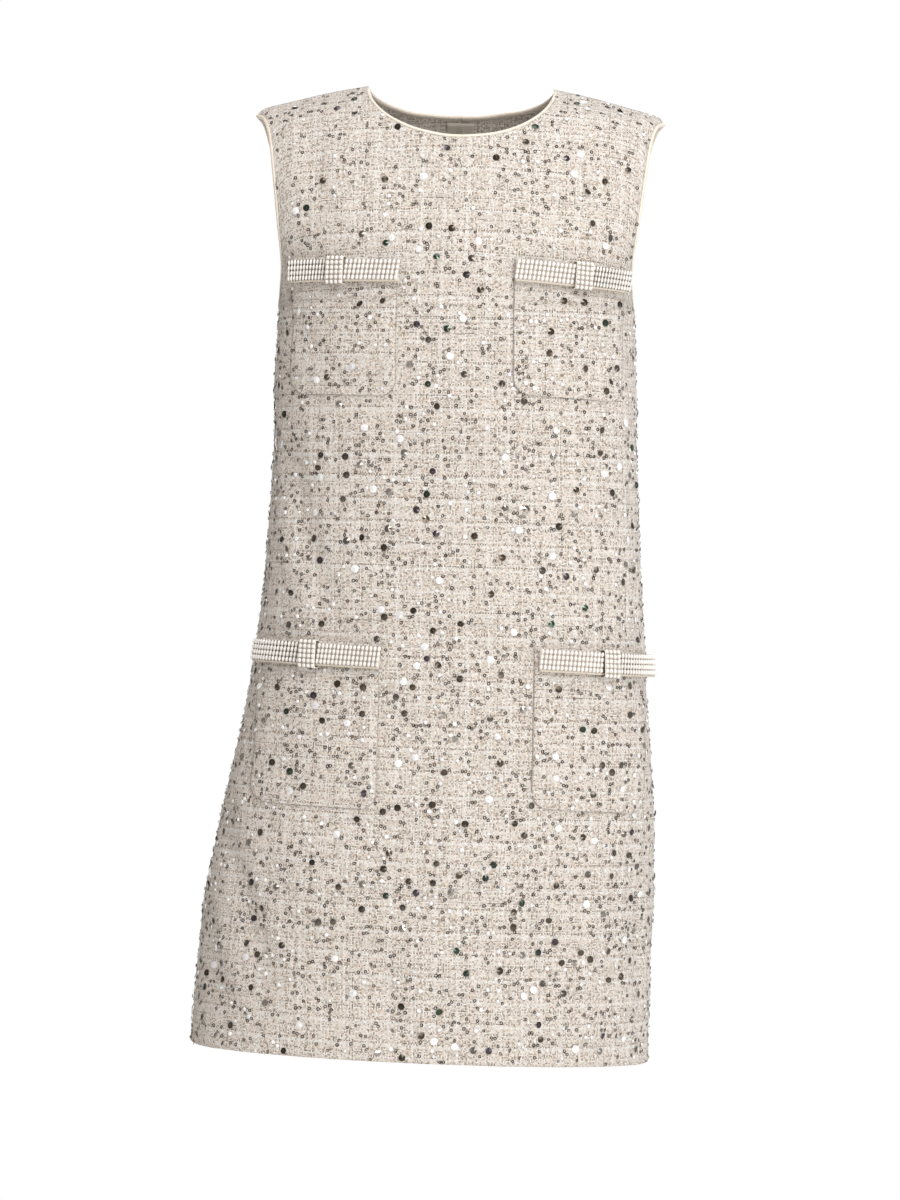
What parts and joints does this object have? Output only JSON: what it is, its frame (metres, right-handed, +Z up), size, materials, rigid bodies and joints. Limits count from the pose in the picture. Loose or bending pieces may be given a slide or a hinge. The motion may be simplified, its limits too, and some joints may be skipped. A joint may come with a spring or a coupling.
{
  "type": "shift dress",
  "caption": "Sleeveless A-line shift dress in beaded tweed, round neck, patch pockets with pearl bows, in the hollow shape it has when worn.",
  "frame": {"origin": "midway between the two shoulder seams at the neck's corners, inside the neck opening, where the wearer's shoulders carry the dress", "axes": "+Z up, the front of the dress faces -Y, +X is the wearer's left"},
  "size_m": [0.4088, 0.2671, 0.841],
  "materials": {
    "tweed": "ivory and beige woven tweed with bronze and clear sequins and small beads",
    "binding": "smooth cream satin binding",
    "pearls": "rows of small white pearl beads on cream ribbon",
    "zip_cloth": "plain cream zip tape",
    "zip_metal": "pale metal zip slider and pull tab"
  },
  "bodies": {
    "dress": {"front_panel": "tweed", "back_panel_left": "tweed", "back_panel_right": "tweed", "neck_binding": "binding", "armhole_binding_left": "binding", "armhole_binding_right": "binding", "pocket_upper_left": "tweed", "pocket_upper_right": "tweed", "pocket_lower_left": "tweed", "pocket_lower_right": "tweed", "bow_band_upper_left": "pearls", "bow_band_upper_right": "pearls", "bow_band_lower_left": "pearls", "bow_band_lower_right": "pearls", "bow_knot_upper_left": "pearls", "bow_knot_upper_right": "pearls", "bow_knot_lower_left": "pearls", "bow_knot_lower_right": "pearls", "zip_tape": "zip_cloth", "zip_slider": "zip_metal"},
    "zip_pull": {"zip_pull_tab": "zip_metal"}
  },
  "joints": [
    {"name": "zip_pull_swing", "type": "hinge", "parent": "dress", "child": "zip_pull", "pos_m": [-0.00133, 0.0758, -0.02273], "axis": [0.9997, -0.003, -0.0231], "range_deg": [0, 170]}
  ]
}
